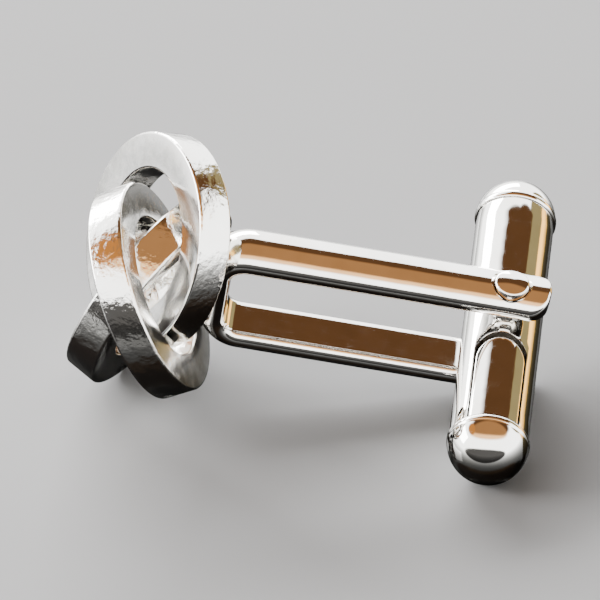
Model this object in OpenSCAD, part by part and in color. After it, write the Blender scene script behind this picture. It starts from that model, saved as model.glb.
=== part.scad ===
// Knot cufflink with a swivelling torpedo bar, lying on its side as it does on a table.
// Sizes are in millimetres. It is drawn first in the post's own frame: the pivot of the bar
// is the origin, X runs from the knot to the bar, Z is the hinge pin. lying_down() then
// turns it onto the three points it rests on and moves it over the origin.

/* [Knot] */

// Outer diameter of each of the three rings
ring_d = 12.0; // [9:0.1:16]
// Width of a ring's flat side, from its outer rim to its hole
ring_side = 2.05; // [1.2:0.05:3]
// Width of a ring's outer band
ring_band = 2.0; // [1.2:0.05:3]
// Bevel along a ring's four rims
ring_bevel = 0.12; // [0.05:0.01:0.3]
// How far each ring's centre stands off the knot's middle
ring_offset = 1.85; // [1:0.05:3]
// Lean of each ring away from facing straight forwards
ring_lean = 32; // [20:1:45]
// Side to which a ring leans, measured from the direction of its offset
ring_swing = 95; // [80:1:110]
// Turn of the whole knot about the post
knot_turn = 46; // [0:1:120]
// Distance from the bar's pivot to the middle of the knot
knot_reach = 19.7; // [14:0.1:26]

/* [Post] */

// Width of the strip that is bent into the post
post_w = 3.0; // [2:0.1:5]
// Thickness of the strip at the top of its crown
post_t = 1.54; // [1.2:0.02:2]
// Height of the strip's sides, from its flat inside up to the crown
post_edge = 0.82; // [0.6:0.02:1.1]
// Radius of the two rounded edges of its flat inside
post_round = 0.55; // [0.1:0.05:0.6]
// Clear height between the two rails
rail_gap = 4.94; // [4.8:0.02:7]
// Reach of the rails past the pivot
rail_tip = 2.25; // [1.8:0.05:4]
// Radius of the two corners of a rail's end, seen from above
tip_r = 1.05; // [0.5:0.05:1.4]
// Distance from the pivot to the inner face of the post's base
post_reach = 15.35; // [11:0.05:20]
// Inside radius of the two bends
bend_r = 0.9; // [0.5:0.05:1.5]

/* [Hinge pin] */

// Diameter of the pin
pin_d = 1.5; // [1:0.05:2]
// Diameter of the pin's two heads
head_d = 1.95; // [1.8:0.05:2.3]
// How far a head stands out of the rail
head_proud = 0.26; // [0.1:0.02:0.5]
// Depth of a head's seat below the top of the crown
seat_sink = 0.5; // [0.4:0.05:0.7]
// Running clearance all round the pin where the bar turns on it
pin_play = 0.06; // [0.02:0.01:0.1]
// Clearance between each of the bar's bosses and the rail it faces
boss_play = 0.05; // [0.02:0.01:0.2]

/* [Bar] */

// Diameter of the bar
bar_d = 4.4; // [3.5:0.1:4.6]
// Distance from the pivot to the middle of each rounded end
bar_half = 8.45; // [6:0.05:11]
// Radius of the rounded ends
dome_r = 2.27; // [1.9:0.01:2.36]
// Diameter of the collar round the foot of each rounded end
collar_d = 4.62; // [4.4:0.02:4.74]
// Width of that collar
collar_w = 0.5; // [0.4:0.05:1.5]
// Width of the slot through one half of the bar
slot_w = 2.9; // [2:0.05:3.5]
// Width of the tongue that fills the slot
tongue_w = 2.78; // [1.8:0.02:3.3]
// Distance from the pivot to the tongue's rounded end
tongue_start = 2.36; // [1.8:0.02:4]
// Clearance between the tongue's rounded end and the slot's
nose_gap = 0.34; // [0.1:0.02:0.6]
// Diameter of the low boss round the pin at the top and bottom of the bar
boss_d = 2.3; // [2:0.05:2.7]
// Bevel on the edges of the collars
collar_bevel = 0.1; // [0.05:0.01:0.2]

/* [Lying on the table] */

// Roll about the line from the knot to the bar
lie_roll = 13.94; // [0:0.01:30]
// Tip from the bar's end towards the knot's end
lie_tip = 9.17; // [0:0.01:20]
// Height of the pivot over the table
lie_height = 4.2894; // [2:0.0001:8]
// Shift along X that centres the footprint
lie_x = 10.602; // [-20:0.001:20]
// Shift along Y that centres the footprint
lie_y = 0; // [-20:0.001:20]

/* [Hidden] */

$fn = 64;
gap = 0.03; // left between pieces that are fixed to each other
over = 1; // how far a cutting shape runs past what it cuts

ring_r = ring_d / 2;
ring_hole_r = ring_r - ring_side;
half_band = ring_band / 2;

crown_r = (pow(post_t - post_edge, 2) + pow(post_w / 2, 2)) / (2 * (post_t - post_edge));
crown_axis = post_t - crown_r;
flat_w = post_w - 2 * post_round;
rail_z = rail_gap / 2;
rail_top = rail_z + post_t;
tip_x = rail_tip - tip_r;
tip_y = post_w / 2 - tip_r + 0.06; // the corners' arcs run a little past the sides
bend_x = -post_reach + bend_r;

// The pin's hole and the seats of its heads, sunk below the strip's crown
hole_d = pin_d + 0.04;
seat_d = head_d + 0.1;
seat_z = rail_z + post_t - seat_sink;

bar_r = bar_d / 2;
cap_y = bar_half - collar_w / 2;
rod_y_end = cap_y - gap;
tongue_r = bar_r - gap;
tongue_end = rod_y_end - gap;
boss_z = rail_z - boss_play;

// The tongue's nose and the slot's end are arcs a little wider than what they close
nose_r = tongue_w / 2 + 0.12;
nose_y = -tongue_start - nose_r;
slot_end_r = slot_w / 2 + 0.15;
slot_end_y = nose_gap - tongue_start - slot_end_r;
arc_start = 0.3; // how far past an arc's centre the straight sides run

silver = [0.83, 0.83, 0.82];
steel = [0.68, 0.69, 0.70];

module lying_down() {
    translate([lie_x, lie_y, lie_height])
        rotate([lie_roll, lie_tip, 0])
            children();
}

// One flat-sided ring about Z, with a narrow bevel on each rim
module ring() {
    rotate_extrude()
        polygon([
            [ring_hole_r, ring_bevel - half_band],
            [ring_hole_r + ring_bevel, -half_band],
            [ring_r - ring_bevel, -half_band],
            [ring_r, ring_bevel - half_band],
            [ring_r, half_band - ring_bevel],
            [ring_r - ring_bevel, half_band],
            [ring_hole_r + ring_bevel, half_band],
            [ring_hole_r, half_band - ring_bevel]
        ]);
}

// Each ring stands off the knot's middle and leans across it, so that the three link
module knot_ring(turn) {
    lying_down()
        translate([-knot_reach, 0, 0])
            rotate([-knot_turn - turn, 0, 0])
                translate([0, 0, ring_offset])
                    rotate([ring_swing, 0, 0])
                        rotate([0, ring_lean - 90, 0])
                            ring();
}

module ring_upper() {
    color(silver) knot_ring(0);
}

module ring_near() {
    color(silver) knot_ring(-120);
}

module ring_lower() {
    color(silver) knot_ring(120);
}

// Cross-section of the post's strip: flat inside at x = 0 with rounded edges, crowned outside
module strip() {
    intersection() {
        union() {
            translate([post_round, -post_w / 2])
                square([post_t, post_w]);
            translate([0, -flat_w / 2])
                square([post_t, flat_w]);
            for (side = [-1, 1])
                translate([post_round, side * flat_w / 2])
                    circle(r = post_round);
        }
        translate([crown_axis, 0])
            circle(r = crown_r);
    }
}

// One rail along X with its bend down to the middle of the base
module half_strip() {
    translate([bend_x, rail_z, 0])
        rotate([90, 0, 90])
            linear_extrude(height = rail_tip - bend_x + over)
                strip();
    translate([bend_x, rail_z - bend_r, 0])
        rotate([0, 0, 90])
            rotate_extrude(angle = 90)
                translate([bend_r, 0])
                    strip();
}

module base_strip() {
    translate([-post_reach, bend_r - rail_z, 0])
        rotate([90, 0, 180])
            linear_extrude(height = 2 * (rail_z - bend_r))
                strip();
}

// What the rails are trimmed to, seen from above: a long box whose end has rounded corners
module post_outline() {
    length = post_reach + post_t + over;
    translate([-length, -post_w])
        square([length + tip_x + arc_start, 2 * post_w]);
    translate([tip_x, -tip_y])
        square([tip_r, 2 * tip_y]);
    for (side = [-1, 1])
        translate([tip_x, side * tip_y])
            circle(r = tip_r);
}

module post() {
    color(silver) lying_down()
        difference() {
            intersection() {
                rotate([90, 0, 0]) {
                    half_strip();
                    mirror([0, 1, 0]) half_strip();
                    base_strip();
                }
                linear_extrude(height = 2 * (rail_top + over), center = true)
                    post_outline();
            }
            cylinder(h = 2 * (rail_top + over), d = hole_d, center = true);
            for (side = [0, 1])
                mirror([0, 0, side])
                    translate([0, 0, seat_z])
                        cylinder(h = post_t + over, d = seat_d);
        }
}

// A head is a short drum whose top carries on the curve of the rail's crown
module pin_head() {
    intersection() {
        translate([0, 0, seat_z + gap])
            cylinder(h = post_t + over, d = head_d);
        translate([-head_d, 0, rail_z + crown_axis + head_proud])
            rotate([0, 90, 0])
                cylinder(h = 2 * head_d, r = crown_r);
    }
}

module hinge_pin() {
    color(steel) lying_down() {
        cylinder(h = 2 * (seat_z + 2 * gap), d = pin_d, center = true);
        pin_head();
        mirror([0, 0, 1]) pin_head();
    }
}

// Round rod along Y between two distances from the pivot
module rod_y(from, to, r) {
    translate([0, from, 0])
        rotate([-90, 0, 0])
            cylinder(h = to - from, r = r);
}

// A strip of outline along Y from one place up to an arc that rounds off its end
module round_ended(from, width, arc_y, arc_r) {
    translate([-width / 2, from])
        square([width, arc_y + arc_start - from]);
    intersection() {
        translate([0, arc_y])
            circle(r = arc_r);
        translate([-width / 2, arc_y + arc_start])
            square([width, arc_r]);
    }
}

// One rod: solid at the pin and beyond it, slotted on the near side, with a boss on each side
module bar_body() {
    color(silver) lying_down()
        difference() {
            union() {
                rod_y(-rod_y_end, rod_y_end, bar_r);
                cylinder(h = 2 * boss_z, d = boss_d, center = true);
            }
            linear_extrude(height = 2 * (bar_r + over), center = true)
                round_ended(-bar_half, slot_w, slot_end_y, slot_end_r);
            cylinder(h = 2 * (boss_z + over), d = pin_d + 2 * pin_play, center = true);
        }
}

// The tongue fills the slot and is rounded towards the pin
module tongue() {
    color(silver) lying_down()
        intersection() {
            rod_y(-bar_half, 0, tongue_r);
            linear_extrude(height = 2 * (bar_r + over), center = true)
                round_ended(-tongue_end, tongue_w, nose_y, nose_r);
        }
}

// Rounded end with its collar, for the far side of the pin
module cap() {
    difference() {
        translate([0, bar_half, 0])
            sphere(r = dome_r);
        rod_y(0, cap_y, bar_d);
    }
    rotate([-90, 0, 0])
        rotate_extrude()
            polygon([
                [0, cap_y],
                [collar_d / 2 - collar_bevel, cap_y],
                [collar_d / 2, cap_y + collar_bevel],
                [collar_d / 2, cap_y + collar_w - collar_bevel],
                [collar_d / 2 - collar_bevel, cap_y + collar_w],
                [0, cap_y + collar_w]
            ]);
}

module cap_near() {
    color(silver) lying_down() mirror([0, 1, 0]) cap();
}

module cap_far() {
    color(silver) lying_down() cap();
}

ring_upper();
ring_near();
ring_lower();
post();
hinge_pin();
bar_body();
tongue();
cap_near();
cap_far();
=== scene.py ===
"""A polished knot cufflink lying on a table: three linked rings, a U-shaped post and a torpedo bar.

Shapes are worked out in millimetres in the post's own frame, the same one as in part.scad:
the bar's pivot is the origin, X runs from the knot to the bar, and Z is the hinge pin.
LYING then turns each piece onto the table and into metres.
"""

import math
from collections import namedtuple

import bmesh
import bpy
import numpy as np
from mathutils import Matrix, Vector


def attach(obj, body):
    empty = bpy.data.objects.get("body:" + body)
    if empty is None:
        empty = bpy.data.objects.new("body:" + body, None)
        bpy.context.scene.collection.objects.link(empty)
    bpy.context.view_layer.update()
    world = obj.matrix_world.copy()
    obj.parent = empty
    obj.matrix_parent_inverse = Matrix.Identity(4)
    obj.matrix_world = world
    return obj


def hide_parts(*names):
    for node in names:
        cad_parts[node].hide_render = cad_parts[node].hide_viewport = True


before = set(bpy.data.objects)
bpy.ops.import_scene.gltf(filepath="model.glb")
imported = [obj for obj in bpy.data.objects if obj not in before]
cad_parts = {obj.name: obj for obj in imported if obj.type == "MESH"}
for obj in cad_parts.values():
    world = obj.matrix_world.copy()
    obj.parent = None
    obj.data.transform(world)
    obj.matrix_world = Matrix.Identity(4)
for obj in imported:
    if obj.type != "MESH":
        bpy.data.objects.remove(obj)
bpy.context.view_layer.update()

MM = 0.001

# Left between pieces that are fixed to each other, in millimetres
GAP = 0.03

# Sizes of the knot, as in part.scad

RING_OUTER = 12.0
RING_SIDE = 2.05
RING_BAND = 2.0
RING_RIM = 0.16
RING_OFFSET = 1.85
RING_LEAN = 32.0
RING_SWING = 95.0
KNOT_TURN = 46.0
KNOT_REACH = 19.7

# Sizes of the post. POST_RIM softens its outer edges and TIP_BULGE rounds the rails' tips

POST_WIDTH = 3.0
POST_THICK = 1.54
POST_EDGE = 0.82
POST_ROUND = 0.55
POST_RIM = 0.2
RAIL_GAP = 4.94
RAIL_TIP = 2.25
TIP_R = 1.05
TIP_BULGE = 0.06
POST_REACH = 15.35
BEND_R = 0.9

RAIL_Z = RAIL_GAP / 2
BEND_Z = RAIL_Z - BEND_R
BEND_LENGTH = BEND_R * math.pi / 2
CROWN_RISE = POST_THICK - POST_EDGE
CROWN_R = (CROWN_RISE ** 2 + (POST_WIDTH / 2) ** 2) / (2 * CROWN_RISE)

# Sizes of the pin and of its heads' seats in the rails

PIN_D = 1.5
PIN_PLAY = 0.06
HEAD_D = 1.95
HEAD_PROUD = 0.26
HEAD_RIM = 0.13
HEAD_DOME_R = 4.0
SEAT_D = 2.05
SEAT_SINK = 0.5
SEAT_RIM = 0.11
SEAT_OPEN = 3.0

SEAT_HEIGHT = POST_THICK - SEAT_SINK

# Sizes of the bar. BEAD_R rounds its collars, and at BEAD_MEETS degrees the dome takes over

BAR_R = 2.2
BAR_HALF = 8.45
DOME_R = 2.27
COLLAR_R = 2.31
COLLAR_WIDTH = 0.5
BEAD_R = 0.2
BEAD_MEETS = 40
SLOT_WIDTH = 2.9
SLOT_END_R = 1.6
NOSE_GAP = 0.34
TONGUE_WIDTH = 2.78
TONGUE_START = 2.36
TONGUE_RIM = 0.09
BOSS_D = 2.3
BOSS_PLAY = 0.05
EASED_EDGE = 0.05
SKIN_DEPTH = 0.04

ROD_END = BAR_HALF - COLLAR_WIDTH / 2 - GAP
TONGUE_R = BAR_R - GAP
TONGUE_END = ROD_END - GAP
BOSS_Z = RAIL_Z - BOSS_PLAY

# How the cufflink lies, and its place on the table

LIE_ROLL = 13.94
LIE_TIP = 9.17
PIVOT = Vector((10.602, 0.0, 4.2894))
LYING = (
    Matrix.Scale(MM, 4)
    @ Matrix.Translation(PIVOT)
    @ Matrix.Rotation(math.radians(LIE_TIP), 4, "Y")
    @ Matrix.Rotation(math.radians(LIE_ROLL), 4, "X")
)

# How finely round shapes are divided, and how far a cutting shape runs past what it cuts

PIN_STEPS = 96
CAP_STEPS = 128
RING_STEPS = 288
RIM_STEPS = 6
OVER = 1.0

# Points closer together than this are merged, in a new mesh and after a cut

WELD_NEW = 1e-4
WELD_CUT = 3e-3


def arc(start, end, steps):
    """Angles from start to end in degrees, both included, in radians."""
    return np.radians(np.linspace(start, end, steps + 1))


def full_turn(steps):
    """Angles all the way round, in radians."""
    return np.linspace(0, 2 * math.pi, steps, endpoint=False)


def circle(radius):
    """Points (x, y) of a circle about the hinge pin."""
    return [(radius * math.cos(t), radius * math.sin(t)) for t in full_turn(PIN_STEPS)]


def weld(mesh, reach):
    """Merges points closer together than reach and turns the faces outwards."""
    work = bmesh.new()
    work.from_mesh(mesh)
    bmesh.ops.remove_doubles(work, verts=work.verts, dist=reach)
    bmesh.ops.dissolve_degenerate(work, edges=work.edges, dist=reach / 10)
    bmesh.ops.recalc_face_normals(work, faces=work.faces)
    work.to_mesh(mesh)
    work.free()


def make_mesh(name, points, faces):
    """A closed mesh in the post's frame, welded, with its faces outwards."""
    mesh = bpy.data.meshes.new(name)
    mesh.from_pydata([tuple(p) for p in points], [], [tuple(f) for f in faces])
    weld(mesh, WELD_NEW)
    return mesh


def make_object(name, mesh):
    """A new object for a mesh, linked to the scene."""
    made = bpy.data.objects.new(name, mesh)
    bpy.context.scene.collection.objects.link(made)
    return made


def skin(rows, close_ends=True):
    """Faces over rows of points. Each row is a closed loop, and all have the same length."""
    rows = np.asarray(rows, float)
    count, across = rows.shape[:2]
    index = np.arange(count * across).reshape(count, across)
    following = np.roll(index, -1, axis=1)
    quads = np.stack([index[:-1], following[:-1], following[1:], index[1:]], -1).reshape(-1, 4)
    faces = [tuple(int(i) for i in quad) for quad in quads]
    if close_ends:
        faces.append(tuple(int(i) for i in index[0][::-1]))
        faces.append(tuple(int(i) for i in index[-1]))
    return rows.reshape(-1, 3), faces


def prism(outline, low, high):
    """A straight-sided solid along Z on an outline of (x, y) points."""
    rows = [[(x, y, z) for x, y in outline] for z in (low, high)]
    return make_mesh("prism", *skin(rows))


def bake(made):
    """Turns the evaluated object into a plain mesh and removes its modifiers."""
    bpy.context.view_layer.update()
    depsgraph = bpy.context.evaluated_depsgraph_get()
    baked = bpy.data.meshes.new_from_object(
        made.evaluated_get(depsgraph), preserve_all_data_layers=True, depsgraph=depsgraph
    )
    made.modifiers.clear()
    old = made.data
    made.data = baked
    bpy.data.meshes.remove(old)
    baked.name = made.name
    return made


def cut(made, tool_mesh, operation="DIFFERENCE"):
    """Applies one exact boolean and throws the tool away."""
    tool = make_object("tool", tool_mesh)
    step = made.modifiers.new("cut", "BOOLEAN")
    step.operation = operation
    step.solver = "EXACT"
    step.object = tool
    bake(made)
    bpy.data.objects.remove(tool)
    weld(made.data, WELD_CUT)


def finish_mesh(made, sharp_angle=32):
    """Lays the piece on the table, in metres, and gives it the even shading of turned metal."""
    mesh = made.data
    mesh.transform(LYING)
    mesh.shade_smooth()
    mesh.set_sharp_from_angle(angle=math.radians(sharp_angle))
    even = made.modifiers.new("even_normals", "WEIGHTED_NORMAL")
    even.weight = 100
    even.keep_sharp = True
    return bake(made)


# Rings of the knot


def ring_tree():
    """Geometry Nodes: sweeps a rectangle with softened corners round a circle."""
    tree = bpy.data.node_groups.new("flat_sided_ring", "GeometryNodeTree")
    tree.is_modifier = True
    sockets = {}
    for label, kind in (
        ("Outer diameter", "NodeSocketFloat"),
        ("Side width", "NodeSocketFloat"),
        ("Band width", "NodeSocketFloat"),
        ("Rim radius", "NodeSocketFloat"),
        ("Metal", "NodeSocketMaterial"),
    ):
        socket = tree.interface.new_socket(label, in_out="INPUT", socket_type=kind)
        sockets[label] = socket.identifier
    tree.interface.new_socket("Ring", in_out="OUTPUT", socket_type="NodeSocketGeometry")

    nodes, links = tree.nodes, tree.links
    given = nodes.new("NodeGroupInput")

    # The sweep follows the middle of the ring's side
    diameter = nodes.new("ShaderNodeMath")
    diameter.operation = "SUBTRACT"
    links.new(given.outputs["Outer diameter"], diameter.inputs[0])
    links.new(given.outputs["Side width"], diameter.inputs[1])
    radius = nodes.new("ShaderNodeMath")
    radius.operation = "MULTIPLY"
    links.new(diameter.outputs["Value"], radius.inputs[0])
    radius.inputs[1].default_value = 0.5
    path = nodes.new("GeometryNodeCurvePrimitiveCircle")
    path.mode = "RADIUS"
    path.inputs["Resolution"].default_value = RING_STEPS
    links.new(radius.outputs["Value"], path.inputs["Radius"])

    section = nodes.new("GeometryNodeCurvePrimitiveQuadrilateral")
    section.mode = "RECTANGLE"
    links.new(given.outputs["Side width"], section.inputs["Width"])
    links.new(given.outputs["Band width"], section.inputs["Height"])
    fillet = nodes.new("GeometryNodeFilletCurve")
    fillet.mode = "POLY"
    fillet.inputs["Count"].default_value = RIM_STEPS
    links.new(section.outputs["Curve"], fillet.inputs["Curve"])
    links.new(given.outputs["Rim radius"], fillet.inputs["Radius"])

    sweep = nodes.new("GeometryNodeCurveToMesh")
    links.new(path.outputs["Curve"], sweep.inputs["Curve"])
    links.new(fillet.outputs["Curve"], sweep.inputs["Profile Curve"])
    real = nodes.new("GeometryNodeRealizeInstances")
    links.new(sweep.outputs["Mesh"], real.inputs["Geometry"])
    paint = nodes.new("GeometryNodeSetMaterial")
    links.new(real.outputs["Geometry"], paint.inputs["Geometry"])
    links.new(given.outputs["Metal"], paint.inputs["Material"])
    out = nodes.new("NodeGroupOutput")
    links.new(paint.outputs["Geometry"], out.inputs["Ring"])
    return tree, sockets


def knot_ring(name, turn, tree, sockets, bands, sides):
    """One ring of the knot, with a finish for its bands and one for its flat sides.

    Its place is the same chain of turns as in part.scad.
    """
    made = make_object(name, bpy.data.meshes.new(name))
    sweep = made.modifiers.new("ring", "NODES")
    sweep.node_group = tree
    sweep[sockets["Outer diameter"]] = RING_OUTER
    sweep[sockets["Side width"]] = RING_SIDE
    sweep[sockets["Band width"]] = RING_BAND
    sweep[sockets["Rim radius"]] = RING_RIM
    sweep[sockets["Metal"]] = bands
    bake(made)
    made.data.materials.append(sides)
    for face in made.data.polygons:
        faces_sideways = abs(face.normal.z) > 0.9
        if faces_sideways:
            face.material_index = 1
    place = (
        Matrix.Translation((-KNOT_REACH, 0, 0))
        @ Matrix.Rotation(math.radians(-KNOT_TURN - turn), 4, "X")
        @ Matrix.Translation((0, 0, RING_OFFSET))
        @ Matrix.Rotation(math.radians(RING_SWING), 4, "X")
        @ Matrix.Rotation(math.radians(RING_LEAN - 90), 4, "Y")
    )
    made.data.transform(place)
    return finish_mesh(made, sharp_angle=60)


# Strips with rounded ends: the post and the tongue


def rounded_strip(stations, corner_r, top, bottom, top_rim, low_rim, across=24):
    """Cross-section loops of a bar with rounded corners at its ends and softened edges.

    stations are (along, lean, middle): lean 0 gives the full width, and round a corner it
    turns to 90 degrees. corner_r is the corner's radius and middle is how far its centre
    stands off the middle line. top and bottom give the height at a place across. top_rim and
    low_rim are the radii of the softened edges. Loops hold (along, across, height).
    """
    soft = arc(0, 90, RIM_STEPS)
    cross = np.linspace(1, -1, across + 1)[1:-1]
    loops = []
    for along, lean, middle in stations:
        cos, sin = math.cos(lean), math.sin(lean)

        def place(inset, height, lift):
            radius = corner_r - inset
            width = middle + radius * cos
            return along + radius * sin, width, height(width) + lift

        right = [
            place(low_rim * (1 - math.cos(a)), bottom, low_rim * (1 - math.sin(a)))
            for a in soft[::-1]
        ]
        right += [
            place(top_rim * (1 - math.cos(a)), top, -top_rim * (1 - math.sin(a)))
            for a in soft
        ]
        left = [(x, -y, z) for x, y, z in right[::-1]]
        low_along, low_width = right[0][:2]
        top_along, top_width = right[-1][:2]
        over = [(top_along, top_width * q, top(abs(top_width * q))) for q in cross]
        under = [(low_along, -low_width * q, bottom(abs(low_width * q))) for q in cross]
        loops.append(right + over + left + under)
    return loops


def crown(width):
    """Height of the post's crowned side at a distance across from its middle line."""
    return POST_THICK - CROWN_R + math.sqrt(CROWN_R ** 2 - min(width, CROWN_R) ** 2)


def flat_inside(width):
    """Height of the post's flat side, which is the same at any distance across."""
    return 0.0


def post_path(s):
    """Place and outward direction, in X and Z, at distance s from the base's middle."""
    side = 1 if s >= 0 else -1
    s = abs(s)
    if s <= BEND_Z:
        return (-POST_REACH, side * s), (-1, 0)
    bend_x = BEND_R - POST_REACH
    if s <= BEND_Z + BEND_LENGTH:
        turn = (s - BEND_Z) / BEND_R
        out = (-math.cos(turn), side * math.sin(turn))
        return (bend_x + BEND_R * out[0], side * BEND_Z + BEND_R * out[1]), out
    return (bend_x + s - BEND_Z - BEND_LENGTH, side * RAIL_Z), (0, side)


def post_stations():
    """Stations along the strip from one rail's tip round the base to the other's."""
    bent = BEND_Z + BEND_LENGTH
    corner = bent + POST_REACH - BEND_R + RAIL_TIP - TIP_BULGE - TIP_R
    middle = POST_WIDTH / 2 - TIP_R
    half = [0.0, BEND_Z / 2]
    half += list(np.linspace(BEND_Z, bent, 17))
    half += list(np.linspace(bent, corner, 40)[1:])
    stations = [(s, 0.0, middle) for s in half]
    stations += [(corner, a, middle) for a in arc(0, 90, 16)[1:]]
    stations += [
        (corner + TIP_BULGE * (1 - (m / middle) ** 2), math.pi / 2, m)
        for m in np.linspace(middle, 0, 5)[1:]
    ]
    return [(-s, -a, m) for s, a, m in stations[:0:-1]] + stations


def seat_rows(side):
    """Rows of the seat cut for one head of the pin: a drum with a countersunk rim.

    The rim keeps the same depth below the crown all the way round.
    """
    wall = SEAT_D / 2
    flare = wall + 2 * SEAT_RIM

    def row(radius, height):
        return [(x, y, side * (RAIL_Z + height(abs(y)))) for x, y in circle(radius)]

    return [
        row(0, lambda width: SEAT_HEIGHT),
        row(wall, lambda width: SEAT_HEIGHT),
        row(wall, lambda width: crown(width) - SEAT_RIM),
        row(flare, lambda width: crown(width) + SEAT_RIM),
        row(flare, lambda width: SEAT_OPEN),
        row(0, lambda width: SEAT_OPEN),
    ]


def make_post(metal):
    """The strip bent into a U, with a seat for a head of the pin in each rail."""
    rows = []
    for loop in rounded_strip(post_stations(), TIP_R, crown, flat_inside, POST_RIM, POST_ROUND):
        row = []
        for s, across, height in loop:
            (x, z), out = post_path(s)
            row.append((x + out[0] * height, across, z + out[1] * height))
        rows.append(row)
    made = make_object("post_strip", make_mesh("post_strip", *skin(rows, close_ends=False)))
    for side in (1, -1):
        cut(made, make_mesh("seat", *skin(seat_rows(side), close_ends=False)))
    made.data.materials.append(metal)
    return finish_mesh(made)


def tongue_top(width):
    """Height of the tongue's round side at a distance across from its middle line."""
    return math.sqrt(TONGUE_R ** 2 - min(width, TONGUE_R) ** 2)


def tongue_bottom(width):
    """Height of the tongue's underside, which mirrors its top."""
    return -tongue_top(width)


def make_tongue(metal):
    """The long piece in the slot: its nose is rounded from above and its top is the bar's round."""
    half = TONGUE_WIDTH / 2
    nose = -TONGUE_START - half
    stations = [(y, 0.0, 0.0) for y in np.linspace(-TONGUE_END, nose, 12)]
    stations += [(nose, a, 0.0) for a in arc(0, 90, 24)[1:]]
    loops = rounded_strip(stations, half, tongue_top, tongue_bottom, TONGUE_RIM, TONGUE_RIM)
    points, faces = skin([[(x, y, z) for y, x, z in loop] for loop in loops], close_ends=False)
    flat_end = tuple(range(len(loops[0])))
    faces.append(flat_end)
    made = make_object("bar_tongue", make_mesh("bar_tongue", points, faces))
    made.data.materials.append(metal)
    return finish_mesh(made)


# Hinge pin


def make_pin(metal):
    """Two crowned heads and the shank between them, as rings of points from top to bottom.

    The upper head is also slightly domed along the rail. The lower one is what the cufflink
    rests on, and stays as it is in the solid.
    """
    face_r = HEAD_D / 2 - HEAD_RIM
    seat = RAIL_Z + SEAT_HEIGHT + GAP

    def top_row(radius, drop):
        lift = RAIL_Z + HEAD_PROUD - drop
        return [(x, y, lift + crown(abs(y))) for x, y in circle(radius)]

    def level_row(diameter, height):
        return [(x, y, height) for x, y in circle(diameter / 2)]

    rows = [top_row(r, 0.0) for r in np.linspace(0, face_r, 14)]
    rows += [
        top_row(face_r + HEAD_RIM * math.sin(a), HEAD_RIM * (1 - math.cos(a)))
        for a in arc(0, 90, 5)[1:]
    ]
    crowned = len(rows)
    rows += [level_row(HEAD_D, seat), level_row(PIN_D, seat), level_row(PIN_D, 0.0)]
    lower = [[(x, y, -z) for x, y, z in row] for row in rows[-2::-1]]
    for row in rows[:crowned]:
        row[:] = [(x, y, z - x ** 2 / (2 * HEAD_DOME_R)) for x, y, z in row]
    points, faces = skin(rows + lower, close_ends=False)
    made = make_object("pin_with_heads", make_mesh("pin_with_heads", points, faces))
    made.data.materials.append(metal)
    return finish_mesh(made)


# Bar


def rod_rows():
    """Rows of the rod, with points on the four lines where the slot's sides come out of it."""
    edge = math.asin(SLOT_WIDTH / 2 / BAR_R)
    turns = []
    for start, end, count in (
        (-edge, edge, 24),
        (edge, math.pi - edge, 34),
        (math.pi - edge, math.pi + edge, 24),
        (math.pi + edge, 2 * math.pi - edge, 34),
    ):
        turns += list(np.linspace(start, end, count, endpoint=False))
    return [
        [(BAR_R * math.sin(t), y, BAR_R * math.cos(t)) for t in turns]
        for y in np.linspace(-ROD_END, ROD_END, 17)
    ]


def slot_outline():
    """The slot from above: straight sides and an end that is an arc round the tongue's nose."""
    half = SLOT_WIDTH / 2
    open_end = -BAR_HALF - OVER
    centre = NOSE_GAP - TONGUE_START - SLOT_END_R
    edge = math.acos(half / SLOT_END_R)
    end = [
        (SLOT_END_R * math.cos(t), centre + SLOT_END_R * math.sin(t))
        for t in np.linspace(edge, math.pi - edge, 49)
    ]
    return [(half, open_end)] + end + [(-half, open_end)]


def make_bar_body(metal, inside):
    """A rod with the tongue's slot through its near half and a low boss round the pin."""
    made = make_object("bar_rod", make_mesh("bar_rod", *skin(rod_rows())))
    bore_r = PIN_D / 2 + PIN_PLAY
    cut(made, prism(slot_outline(), -BAR_R - OVER, BAR_R + OVER))
    cut(made, prism(circle(BOSS_D / 2), -BOSS_Z, BOSS_Z), "UNION")
    cut(made, prism(circle(bore_r), -BOSS_Z - OVER, BOSS_Z + OVER))
    ease = made.modifiers.new("eased_edges", "BEVEL")
    ease.width = EASED_EDGE
    ease.segments = 3
    ease.limit_method = "ANGLE"
    ease.angle_limit = math.radians(40)
    ease.use_clamp_overlap = True
    bake(made)
    made.data.materials.append(metal)
    made.data.materials.append(inside)
    # Faces inside the rod's round get the rough finish, whose darker colour is painted shade in the
    # slot
    for face in made.data.polygons:
        is_inside = math.hypot(face.center.x, face.center.z) < BAR_R - SKIN_DEPTH
        if is_inside:
            face.material_index = 1
    return finish_mesh(made, sharp_angle=40)


def cap_profile():
    """Half outline (radius, along) of a rounded end and the narrow bead round its foot."""
    inner = BAR_HALF - COLLAR_WIDTH / 2
    outer = BAR_HALF + COLLAR_WIDTH / 2
    core = COLLAR_R - BEAD_R
    profile = [(0.0, inner), (core, inner)]
    profile += [
        (core + BEAD_R * math.sin(a), inner + BEAD_R * (1 - math.cos(a)))
        for a in arc(0, 90, 8)[1:]
    ]
    profile += [
        (core + BEAD_R * math.cos(a), outer - BEAD_R * (1 - math.sin(a)))
        for a in arc(0, BEAD_MEETS, 5)
    ]
    dome_starts = math.asin((profile[-1][1] - BAR_HALF) / DOME_R)
    profile += [
        (DOME_R * math.cos(a), BAR_HALF + DOME_R * math.sin(a))
        for a in np.linspace(dome_starts, math.pi / 2, 41)[1:-1]
    ]
    return profile + [(0.0, BAR_HALF + DOME_R)]


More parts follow.
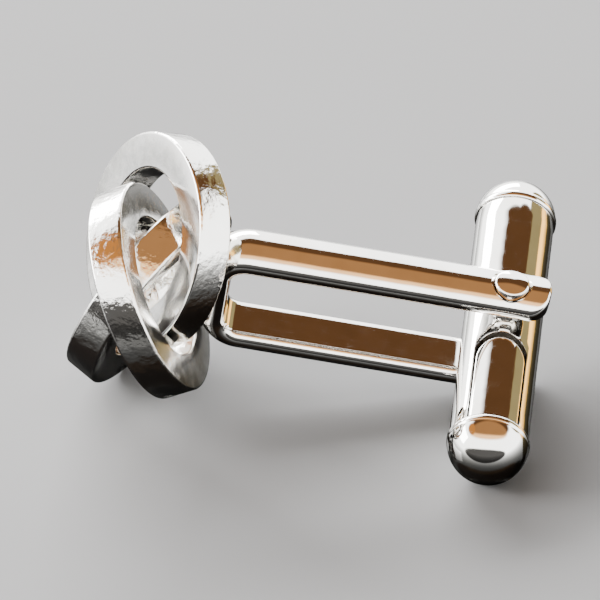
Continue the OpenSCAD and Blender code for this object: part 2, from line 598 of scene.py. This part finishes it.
def make_cap(name, side, metal):
    """Rounded end, turned about Y, on the near side of the pin for -1 and the far side for 1."""
    rows = [
        [(r * math.sin(t), side * y, r * math.cos(t)) for t in full_turn(CAP_STEPS)]
        for r, y in cap_profile()
    ]
    made = make_object(name, make_mesh(name, *skin(rows, close_ends=False)))
    made.data.materials.append(metal)
    return finish_mesh(made)


# Polished metal

# What one finish is: its clean colour, its colour under the warmer film, its roughness where
# it is cleanest and where it is haziest, where its pattern starts, and the depth in metres
# of the small dents that break up what it mirrors
Finish = namedtuple("Finish", "clean filmed gloss seed dents")

PLATING = Finish((0.93, 0.92, 0.90), (0.84, 0.82, 0.78), (0.035, 0.12), 3.1, 0.0)
RING_BANDS = Finish((0.93, 0.92, 0.90), (0.86, 0.84, 0.80), (0.05, 0.13), 5.3, 3.8e-5)
RING_SIDES = Finish((0.93, 0.92, 0.91), (0.88, 0.87, 0.84), (0.14, 0.24), 4.1, 0.4e-5)
PIN_PLATING = Finish((0.90, 0.89, 0.88), (0.80, 0.78, 0.75), (0.035, 0.12), 7.7, 0.0)
# The slot's inside is rougher than the plating, which is real, and darker in colour, which is painted
# shade for the recess
UNPOLISHED_AND_SHADED = Finish((0.62, 0.60, 0.57), (0.46, 0.44, 0.41), (0.32, 0.5), 9.1, 0.0)

# Patterns: spots per millimetre and steps of finer detail
FILM = (0.45, 3)
HAZE = (1.6, 5)
HAIRLINES = (2.2, 4)
WAVES = (0.7, 1)
DENTS = (2.4, 4)

# Values of the pattern between which the film or the haze sets in
FILM_RANGE = (0.35, 0.7)
HAZE_RANGE = (0.4, 0.75)

# How the hairlines are drawn out, and how they are turned, in radians
HAIRLINE_STRETCH = (1.2, 9, 14)
HAIRLINE_TURN = (0.3, 0.5, 0.9)

# How strongly the relief shows, and its depth in metres
HAIRLINE_RELIEF = (0.25, 1.5e-6)
WAVE_RELIEF = (0.6, 1.6e-5)


def plated_metal(name, finish):
    """Plating with faint waves, hairlines, hazy handling marks and a warmer film."""
    metal = bpy.data.materials.new(name)
    metal.use_nodes = True
    nodes, links = metal.node_tree.nodes, metal.node_tree.links
    shader = nodes["Principled BSDF"]
    shader.inputs["Metallic"].default_value = 1.0
    shader.inputs["IOR"].default_value = 1.45

    place = nodes.new("ShaderNodeTexCoord")
    spread = nodes.new("ShaderNodeMapping")
    spread.inputs["Scale"].default_value = (1 / MM, 1 / MM, 1 / MM)
    spread.inputs["Location"].default_value = (finish.seed, finish.seed * 0.7, -finish.seed)
    links.new(place.outputs["Object"], spread.inputs["Vector"])

    def noise(pattern, source=spread.outputs["Vector"]):
        node = nodes.new("ShaderNodeTexNoise")
        scale, detail = pattern
        node.inputs["Scale"].default_value = scale
        node.inputs["Detail"].default_value = detail
        links.new(source, node.inputs["Vector"])
        return node.outputs["Fac"]

    def ramp(source, low, high, start, end):
        node = nodes.new("ShaderNodeMapRange")
        node.inputs["From Min"].default_value = low
        node.inputs["From Max"].default_value = high
        node.inputs["To Min"].default_value = start
        node.inputs["To Max"].default_value = end
        links.new(source, node.inputs["Value"])
        return node.outputs["Result"]

    def bump(height, strength, depth, under=None):
        node = nodes.new("ShaderNodeBump")
        node.inputs["Strength"].default_value = strength
        node.inputs["Distance"].default_value = depth
        links.new(height, node.inputs["Height"])
        if under:
            links.new(under, node.inputs["Normal"])
        return node.outputs["Normal"]

    mix = nodes.new("ShaderNodeMix")
    mix.data_type = "RGBA"
    mix.inputs["A"].default_value = (*finish.clean, 1)
    mix.inputs["B"].default_value = (*finish.filmed, 1)
    links.new(ramp(noise(FILM), *FILM_RANGE, 0.0, 1.0), mix.inputs["Factor"])
    links.new(mix.outputs["Result"], shader.inputs["Base Color"])
    links.new(ramp(noise(HAZE), *HAZE_RANGE, *finish.gloss), shader.inputs["Roughness"])

    drawn_out = nodes.new("ShaderNodeMapping")
    drawn_out.inputs["Scale"].default_value = HAIRLINE_STRETCH
    drawn_out.inputs["Rotation"].default_value = HAIRLINE_TURN
    links.new(spread.outputs["Vector"], drawn_out.inputs["Vector"])
    surface = bump(noise(HAIRLINES, drawn_out.outputs["Vector"]), *HAIRLINE_RELIEF)
    surface = bump(noise(WAVES), *WAVE_RELIEF, surface)
    if finish.dents:
        surface = bump(noise(DENTS), 1.0, finish.dents, surface)
    links.new(surface, shader.inputs["Normal"])
    return metal


# Studio

FLOOR_REACH = 3.0
FLOOR_PALE = (0.78, 0.78, 0.785)
FLOOR_PALER = (0.82, 0.82, 0.825)
# Colour of the painted reflection: the dark surface the metal mirrors in place of the pale floor
FLOOR_PAINTED_REFLECTION = (0.012, 0.012, 0.012)


def make_floor():
    """A plain pale floor, which the metal mirrors as a dark glossy surface: a painted reflection, so
    that the edges stand out.
    """
    mesh = bpy.data.meshes.new("pale_floor")
    corners = [(FLOOR_REACH * x, FLOOR_REACH * y, 0) for x, y in ((-1, -1), (1, -1), (1, 1), (-1, 1))]
    mesh.from_pydata(corners, [], [(0, 1, 2, 3)])
    floor = make_object("pale_floor", mesh)
    paper = bpy.data.materials.new("pale_paper")
    paper.use_nodes = True
    nodes, links = paper.node_tree.nodes, paper.node_tree.links
    pale = nodes["Principled BSDF"]
    pale.inputs["Roughness"].default_value = 0.9
    pale.inputs["Specular IOR Level"].default_value = 0.0
    place = nodes.new("ShaderNodeTexCoord")
    grain = nodes.new("ShaderNodeTexNoise")
    grain.inputs["Scale"].default_value = 60
    grain.inputs["Detail"].default_value = 3
    links.new(place.outputs["Object"], grain.inputs["Vector"])
    mix = nodes.new("ShaderNodeMix")
    mix.data_type = "RGBA"
    mix.inputs["A"].default_value = (*FLOOR_PALE, 1)
    mix.inputs["B"].default_value = (*FLOOR_PALER, 1)
    links.new(grain.outputs["Fac"], mix.inputs["Factor"])
    links.new(mix.outputs["Result"], pale.inputs["Base Color"])

    # Painted reflection: rays off the metal see this dark glossy surface instead of the pale paper
    mirrored = nodes.new("ShaderNodeBsdfPrincipled")
    mirrored.inputs["Base Color"].default_value = (*FLOOR_PAINTED_REFLECTION, 1)
    mirrored.inputs["Roughness"].default_value = 0.05
    mirrored.inputs["IOR"].default_value = 1.15
    ray = nodes.new("ShaderNodeLightPath")
    seen = nodes.new("ShaderNodeMixShader")
    links.new(ray.outputs["Is Glossy Ray"], seen.inputs["Fac"])
    links.new(pale.outputs["BSDF"], seen.inputs[1])
    links.new(mirrored.outputs["BSDF"], seen.inputs[2])
    links.new(seen.outputs["Shader"], nodes["Material Output"].inputs["Surface"])
    floor.data.materials.append(paper)


# A soft rectangular light: its place, width and height in metres, and its power in watts
Softbox = namedtuple("Softbox", "name place size power colour")

SOFTBOXES = (
    Softbox("back_softbox", (-0.35, 0.75, 0.38), (0.9, 0.35), 17.0, (1, 1, 1)),
    Softbox("left_softbox", (-0.85, 0.05, 0.35), (0.7, 0.35), 8.5, (1, 0.99, 0.98)),
)
LIT_POINT = Vector((0, 0, 0.006))


def make_lights():
    """Soft lights, each aimed at the cufflink."""
    for box in SOFTBOXES:
        light = bpy.data.lights.new(box.name, "AREA")
        light.shape = "RECTANGLE"
        light.size, light.size_y = box.size
        light.energy = box.power
        light.color = box.colour
        lamp = bpy.data.objects.new(box.name, light)
        lamp.location = box.place
        lamp.rotation_euler = (LIT_POINT - Vector(box.place)).to_track_quat("-Z", "Y").to_euler()
        bpy.context.scene.collection.objects.link(lamp)


# A bright screen stands all round, and cards on it give the metal something to mirror. The
# floor gets only a part of its light, SCREEN_ON_FLOOR
SCREEN = (4.8, 4.8, 4.7)
SCREEN_ON_FLOOR = 0.085

# A soft-edged oval card. Its angles are in degrees: azimuth turns from the far side of the
# table towards +X, and inner and outer are the half-widths where the edge starts and ends.
# stretch below 1 makes it wider that way
Card = namedtuple("Card", "azimuth height stretch inner outer colour")

# A later card lies over an earlier one
CARDS = (
    # dark, low down on the camera's side
    Card(186, 0, (1, 1, 4.2), 54, 60, (0.13, 0.125, 0.12)),
    # olive and gold, low down on the right
    Card(50, 20, (1, 1, 1), 17, 20, (0.46, 0.36, 0.16)),
    Card(50, 0, (1, 1, 1.7), 13, 17, (3.9, 2.1, 0.50)),
    # cream overhead, with brown on its far side
    Card(160, 78, (0.5, 1, 1), 27, 36, (2.5, 1.4, 0.62)),
    Card(55, 77, (0.47, 1, 1), 23, 31, (0.14, 0.063, 0.025)),
    Card(13, 67, (0.6, 1, 1), 12, 14, (0.14, 0.063, 0.025)),
    Card(48, 45, (0.5, 1, 1), 10, 12, (0.14, 0.063, 0.025)),
    # tan in the middle overhead
    Card(140, 79, (0.36, 1, 1), 17, 25, (0.54, 0.25, 0.09)),
    # amber on the left, for the knot
    Card(267, 48, (1, 0.5, 1), 7, 10.5, (0.8, 0.30, 0.065)),
)


def make_surround():
    """The screen and its cards, all as light from the world."""
    world = bpy.data.worlds.new("studio_surround")
    world.use_nodes = True
    bpy.context.scene.world = world
    nodes, links = world.node_tree.nodes, world.node_tree.links
    place = nodes.new("ShaderNodeTexCoord")

    def lay(card, under):
        """Lays a card over what is under it."""
        turn, rise = math.radians(card.azimuth), math.radians(card.height)
        level = math.cos(rise)
        towards = Vector((level * math.sin(turn), level * math.cos(turn), math.sin(rise)))
        scale = nodes.new("ShaderNodeVectorMath")
        scale.operation = "MULTIPLY"
        scale.inputs[1].default_value = card.stretch
        links.new(place.outputs["Generated"], scale.inputs[0])
        unit = nodes.new("ShaderNodeVectorMath")
        unit.operation = "NORMALIZE"
        links.new(scale.outputs["Vector"], unit.inputs[0])
        dot = nodes.new("ShaderNodeVectorMath")
        dot.operation = "DOT_PRODUCT"
        dot.inputs[1].default_value = (towards * Vector(card.stretch)).normalized()
        links.new(unit.outputs["Vector"], dot.inputs[0])
        edge = nodes.new("ShaderNodeMapRange")
        edge.interpolation_type = "SMOOTHSTEP"
        edge.inputs["From Min"].default_value = math.cos(math.radians(card.outer))
        edge.inputs["From Max"].default_value = math.cos(math.radians(card.inner))
        links.new(dot.outputs["Value"], edge.inputs["Value"])
        mix = nodes.new("ShaderNodeMix")
        mix.data_type = "RGBA"
        mix.inputs["B"].default_value = (*card.colour, 1)
        links.new(edge.outputs["Result"], mix.inputs["Factor"])
        links.new(under, mix.inputs["A"])
        return mix.outputs["Result"]

    screen = nodes.new("ShaderNodeRGB")
    screen.outputs["Color"].default_value = (*SCREEN, 1)
    seen = screen.outputs["Color"]
    for card in CARDS:
        seen = lay(card, seen)
    links.new(seen, nodes["Background"].inputs["Color"])

    # Only the metal mirrors the surround at full strength. The floor is lit by the softboxes
    # more than by the surround, so that it takes soft shadows
    ray = nodes.new("ShaderNodeLightPath")
    mirrored = nodes.new("ShaderNodeMath")
    mirrored.operation = "SUBTRACT"
    mirrored.use_clamp = True
    links.new(ray.outputs["Is Glossy Ray"], mirrored.inputs[0])
    links.new(ray.outputs["Diffuse Depth"], mirrored.inputs[1])
    strength = nodes.new("ShaderNodeMapRange")
    strength.inputs["To Min"].default_value = SCREEN_ON_FLOOR
    strength.inputs["To Max"].default_value = 1.0
    links.new(mirrored.outputs["Value"], strength.inputs["Value"])
    links.new(strength.outputs["Result"], nodes["Background"].inputs["Strength"])


# The photograph's viewpoint, worked out from the shape of the bar, post and knot. The
# picture is 600 pixels wide, and its focal length is given in those pixels

CAMERA_AT = Vector((29.786, -381.542, 259.975)) * MM
CAMERA_UP = Vector((-0.03236, 0.56416, 0.82503))
PHOTO_FOCAL = 5822
FRAME_PIXELS = 600
SENSOR_WIDTH = 36
CLOSER = 1.42
AIM = Vector((-0.6, -0.4, 6.2))


def make_camera():
    """Stands where the photograph's camera stood, aimed at the cufflink and closer in."""
    lens = bpy.data.cameras.new("camera")
    lens.sensor_width = SENSOR_WIDTH
    lens.lens = SENSOR_WIDTH * PHOTO_FOCAL * CLOSER / FRAME_PIXELS
    lens.clip_end = 20
    camera = bpy.data.objects.new("camera", lens)
    bpy.context.scene.collection.objects.link(camera)
    look = (AIM * MM - CAMERA_AT).normalized()
    right = look.cross(CAMERA_UP).normalized()
    up = right.cross(look)
    turn = Matrix((right, up, -look)).transposed()
    camera.matrix_world = Matrix.Translation(CAMERA_AT) @ turn.to_4x4()
    bpy.context.scene.camera = camera


# The cufflink

plating = plated_metal("silver_plating", PLATING)
ring_bands = plated_metal("ring_bands", RING_BANDS)
ring_sides = plated_metal("ring_sides", RING_SIDES)
pin_metal = plated_metal("pin_plating", PIN_PLATING)
inside_metal = plated_metal("unpolished_shaded_plating", UNPOLISHED_AND_SHADED)

tree, sockets = ring_tree()
for node, turn in (("ring_upper", 0), ("ring_near", -120), ("ring_lower", 120)):
    ring = knot_ring("polished_" + node, turn, tree, sockets, ring_bands, ring_sides)
    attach(ring, "link")
    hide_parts(node)

for piece, body, node, slot in (
    (make_post(plating), "link", "post", "plated_metal"),
    (make_pin(pin_metal), "link", "hinge_pin", "pin_metal"),
    (make_bar_body(plating, inside_metal), "bar", "bar_body", "plated_metal"),
    (make_tongue(plating), "bar", "tongue", "plated_metal"),
):
    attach(piece, body)
    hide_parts(node)

for node, side in (("cap_near", -1), ("cap_far", 1)):
    cap = make_cap("rounded_" + node, side, plating)
    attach(cap, "bar")
    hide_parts(node)

make_floor()
make_lights()
make_surround()
make_camera()
